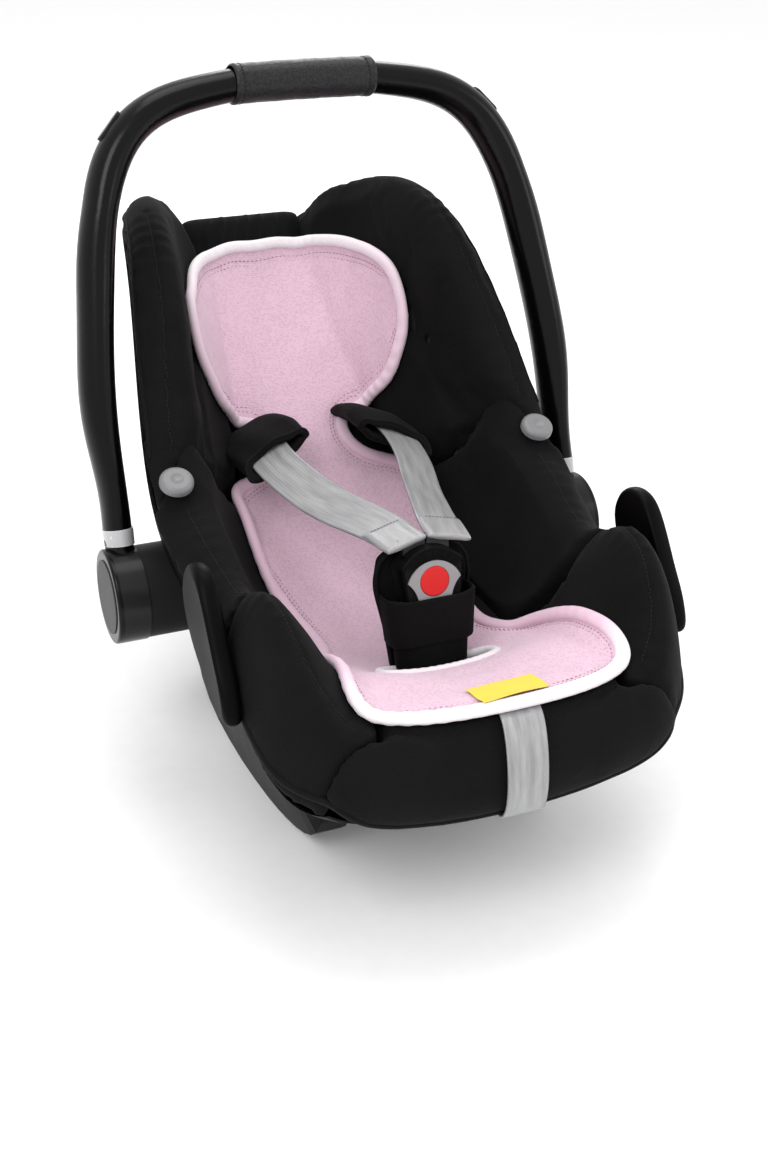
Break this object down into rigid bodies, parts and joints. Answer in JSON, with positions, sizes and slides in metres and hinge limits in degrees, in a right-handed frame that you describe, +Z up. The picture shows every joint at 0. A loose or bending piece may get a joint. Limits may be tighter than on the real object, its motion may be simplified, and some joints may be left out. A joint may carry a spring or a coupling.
{
  "type": "infant car seat",
  "caption": "Rear-facing infant car seat with a swinging carry handle, padded bucket, chest harness with buckle and a removable mesh liner.",
  "frame": {"origin": "floor point under the middle of the seat's box", "axes": "+X across the seat, -Y towards the feet, +Y towards the head, +Z up"},
  "size_m": [0.4588, 0.6774, 0.5865],
  "materials": {
    "shell_plastic": "fine grained dark moulding",
    "foam": "expanded bead foam",
    "black_fabric": "fine black woven cover over foam padding",
    "pink_mesh": "pink spacer mesh with padded binding",
    "label_cloth": "plain yellow woven tab",
    "webbing": "silver grey satin webbing",
    "dark_pad": "black padded cloth",
    "handle_plastic": "black semi-gloss moulding",
    "grip_leather": "black grained sleeve",
    "grey_plastic": "satin grey moulding",
    "red_plastic": "red moulding",
    "silver_trim": "silver moulding",
    "steel": "zinc plated steel"
  },
  "bodies": {
    "root": {"seat_shell": "shell_plastic", "foam_liner": "foam", "seat_pad": "black_fabric", "head_panel": "black_fabric", "front_apron": "black_fabric", "seat_liner": "pink_mesh", "liner_label": "label_cloth", "buckle_body": "shell_plastic", "buckle_plate": "grey_plastic", "release_spring": "steel", "crotch_pad": "dark_pad", "crotch_strap": "webbing", "crotch_anchor": "steel", "adjuster_frame": "steel", "adjuster_strap": "webbing", "harness_yoke": "steel", "thigh_pad_right": "black_fabric", "arm_pad_right": "black_fabric", "wing_pad_right": "black_fabric", "belt_hook_right": "shell_plastic", "canopy_knob_right": "grey_plastic", "hub_housing_right": "shell_plastic", "pivot_pin_right": "steel", "shoulder_strap_right": "webbing", "shoulder_pad_right": "dark_pad", "buckle_tongue_right": "steel", "thigh_pad_left": "black_fabric", "arm_pad_left": "black_fabric", "wing_pad_left": "black_fabric", "belt_hook_left": "shell_plastic", "canopy_knob_left": "grey_plastic", "hub_housing_left": "shell_plastic", "pivot_pin_left": "steel", "shoulder_strap_left": "webbing", "shoulder_pad_left": "dark_pad", "buckle_tongue_left": "steel"},
    "handle": {"handle_bar": "handle_plastic", "handle_grip": "grip_leather", "hub_cap_right": "handle_plastic", "hub_disc_right": "grey_plastic", "hub_screws_right": "steel", "plunger_spring_right": "steel", "handle_trim_right": "silver_trim", "hub_cap_left": "handle_plastic", "hub_disc_left": "grey_plastic", "hub_screws_left": "steel", "plunger_spring_left": "steel", "handle_trim_left": "silver_trim"},
    "release_button": {"release_button": "red_plastic"},
    "adjuster_lever": {"adjuster_lever": "steel"},
    "handle_button_right": {"handle_button_right": "handle_plastic"},
    "lock_plunger_right": {"lock_plunger_right": "steel"},
    "handle_button_left": {"handle_button_left": "handle_plastic"},
    "lock_plunger_left": {"lock_plunger_left": "steel"}
  },
  "joints": [
    {"name": "handle_swing", "type": "hinge", "parent": "root", "child": "handle", "pos_m": [0, 0, 0.175], "axis": [1, 0, 0], "range_deg": [-70, 60]},
    {"name": "buckle_press", "type": "slide", "parent": "root", "child": "release_button", "axis": [0, 0.9816, -0.1908], "range_m": [0, 0.003], "stiffness_N_per_m": 2000, "springref_m": -0.002, "deforming": ["release_spring"]},
    {"name": "adjuster_tilt", "type": "hinge", "parent": "root", "child": "adjuster_lever", "pos_m": [0, -0.24, 0.16], "axis": [1, 0, 0], "range_deg": [0, 8], "stiffness_Nm_per_rad": 1, "springref_deg": -5.73},
    {"name": "button_press_right", "type": "slide", "parent": "handle", "child": "handle_button_right", "axis": [-0.7431, -0.2289, -0.6288], "range_m": [0, 0.003], "stiffness_N_per_m": 1500, "springref_m": -0.002},
    {"name": "lock_slide_right", "type": "slide", "parent": "handle", "child": "lock_plunger_right", "axis": [1, 0, 0], "range_m": [0, 0.0075], "deforming": ["plunger_spring_right"]},
    {"name": "button_press_left", "type": "slide", "parent": "handle", "child": "handle_button_left", "axis": [0.7431, -0.2289, -0.6288], "range_m": [0, 0.003], "stiffness_N_per_m": 1500, "springref_m": -0.002},
    {"name": "lock_slide_left", "type": "slide", "parent": "handle", "child": "lock_plunger_left", "axis": [-1, 0, 0], "range_m": [0, 0.0075], "deforming": ["plunger_spring_left"]}
  ],
  "couplings": [
    {"joint": "lock_slide_right", "follows": "button_press_right", "ratio": 2.5},
    {"joint": "lock_slide_left", "follows": "button_press_left", "ratio": 2.5}
  ]
}
